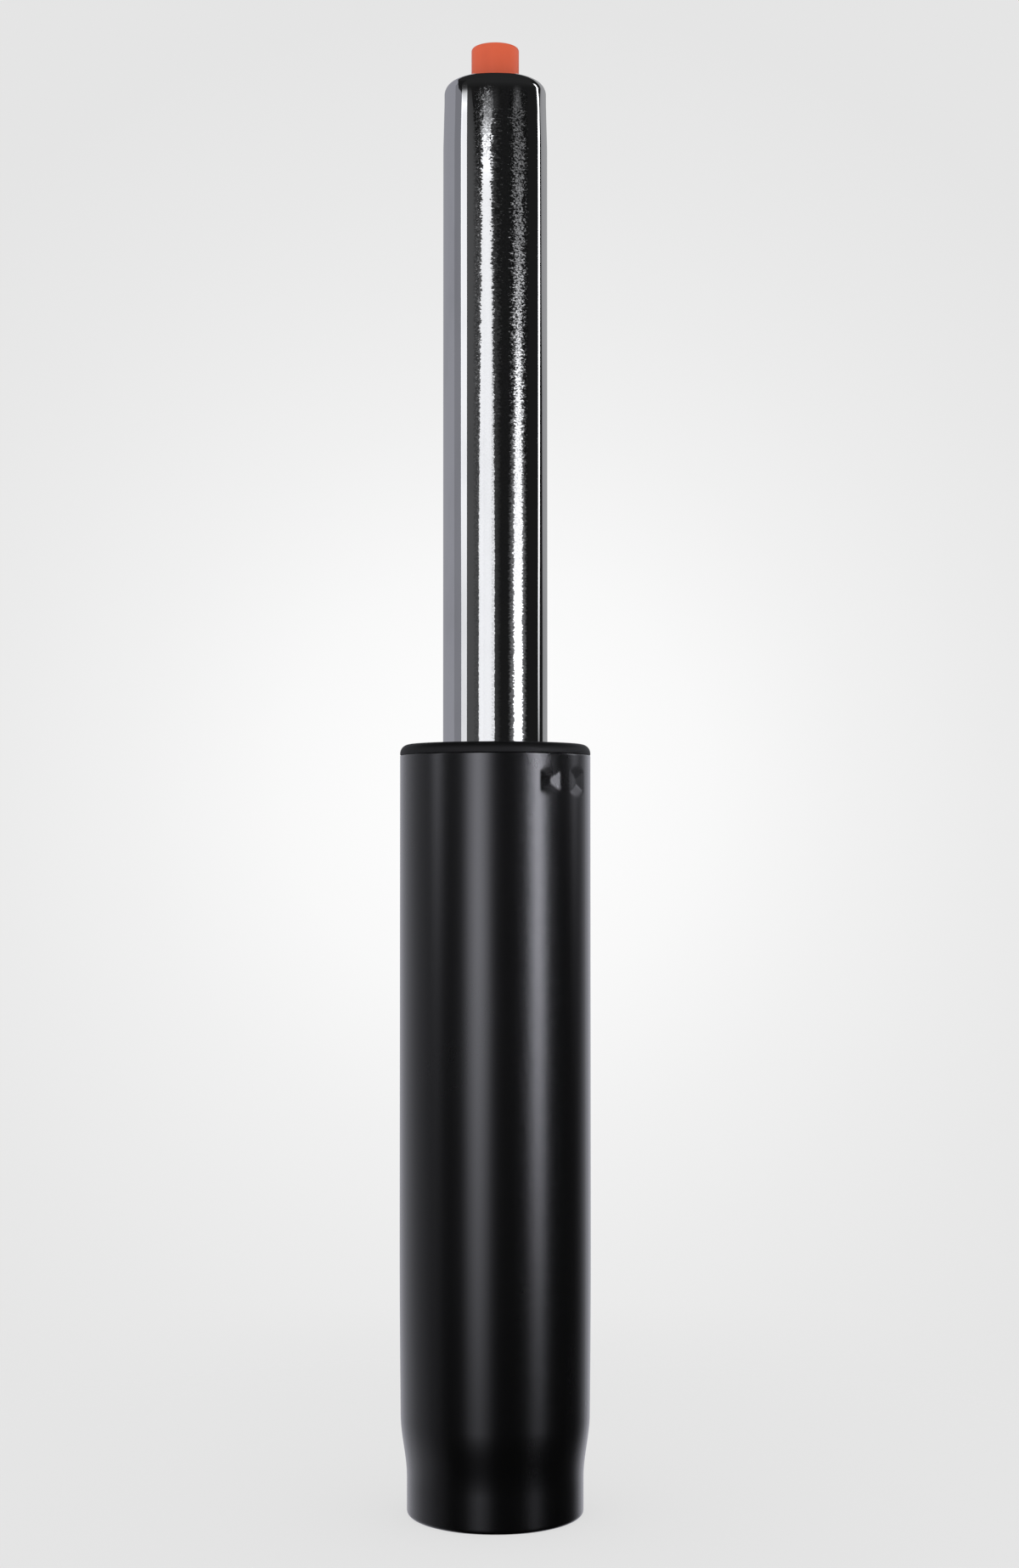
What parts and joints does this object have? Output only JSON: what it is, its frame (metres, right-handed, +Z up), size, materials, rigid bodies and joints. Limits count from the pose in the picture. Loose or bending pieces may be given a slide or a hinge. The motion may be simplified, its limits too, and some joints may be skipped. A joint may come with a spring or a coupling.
{
  "type": "chair gas lift cylinder",
  "caption": "Gas lift column for a swivel chair: necked black stand tube, chromed gas cylinder with a seat cone, and a press button on top.",
  "frame": {"origin": "centre of the foot's lower face, which is the bottom centre of the whole part", "axes": "+Z up along the column's axis, from the foot to the release button; -Y is the side that the picture shows"},
  "size_m": [0.051, 0.051, 0.3924],
  "materials": {
    "black_paint": "satin black paint",
    "black_plastic": "moulded, matte",
    "chrome_plate": "polished chrome",
    "orange_plastic": "moulded, slightly glossy",
    "bright_steel": "ground",
    "plate_steel": "pressed, dull",
    "spring_steel": "blued",
    "black_rubber": "matte",
    "light_alloy": "drawn and turned",
    "valve_brass": "turned",
    "white_plastic": "moulded, waxy"
  },
  "bodies": {
    "stand": {"outer_tube": "black_paint", "guide_sleeve": "black_plastic", "bottom_plate": "plate_steel", "lower_race": "bright_steel"},
    "ball_cage": {"bearing_cage": "white_plastic", "bearing_balls": "bright_steel"},
    "spindle": {"upper_race": "bright_steel", "thrust_washer": "bright_steel", "piston_rod": "bright_steel", "rubber_bumper": "black_rubber", "clip_washer": "bright_steel", "retaining_clip": "spring_steel", "piston": "light_alloy", "piston_ring": "white_plastic", "piston_washer": "bright_steel", "piston_nut": "bright_steel"},
    "cylinder": {"pressure_tube": "chrome_plate", "inner_tube": "light_alloy", "tube_spacer": "white_plastic", "rod_guide": "plate_steel", "rod_seal": "black_rubber", "seal_washer": "bright_steel", "valve_body": "valve_brass", "body_seals": "black_rubber", "spigot_seal": "black_rubber", "pin_seals": "black_rubber", "seal_spacer": "bright_steel", "valve_disc": "bright_steel"},
    "release": {"valve_pin": "bright_steel", "release_button": "orange_plastic"}
  },
  "joints": [
    {"name": "swivel", "type": "hinge", "parent": "stand", "child": "spindle", "pos_m": [0, 0, 0], "axis": [0, 0, 1], "continuous": true},
    {"name": "ball_roll", "type": "hinge", "parent": "stand", "child": "ball_cage", "pos_m": [0, 0, 0], "axis": [0, 0, 1], "continuous": true},
    {"name": "height", "type": "slide", "parent": "spindle", "child": "cylinder", "axis": [0, 0, 1], "range_m": [-0.08, 0], "stiffness_N_per_m": 875, "springref_m": 0.4},
    {"name": "button_press", "type": "slide", "parent": "cylinder", "child": "release", "axis": [0, 0, 1], "range_m": [-0.004, 0], "stiffness_N_per_m": 1500, "springref_m": 0.001}
  ],
  "couplings": [
    {"joint": "ball_roll", "follows": "swivel", "ratio": 0.5}
  ]
}
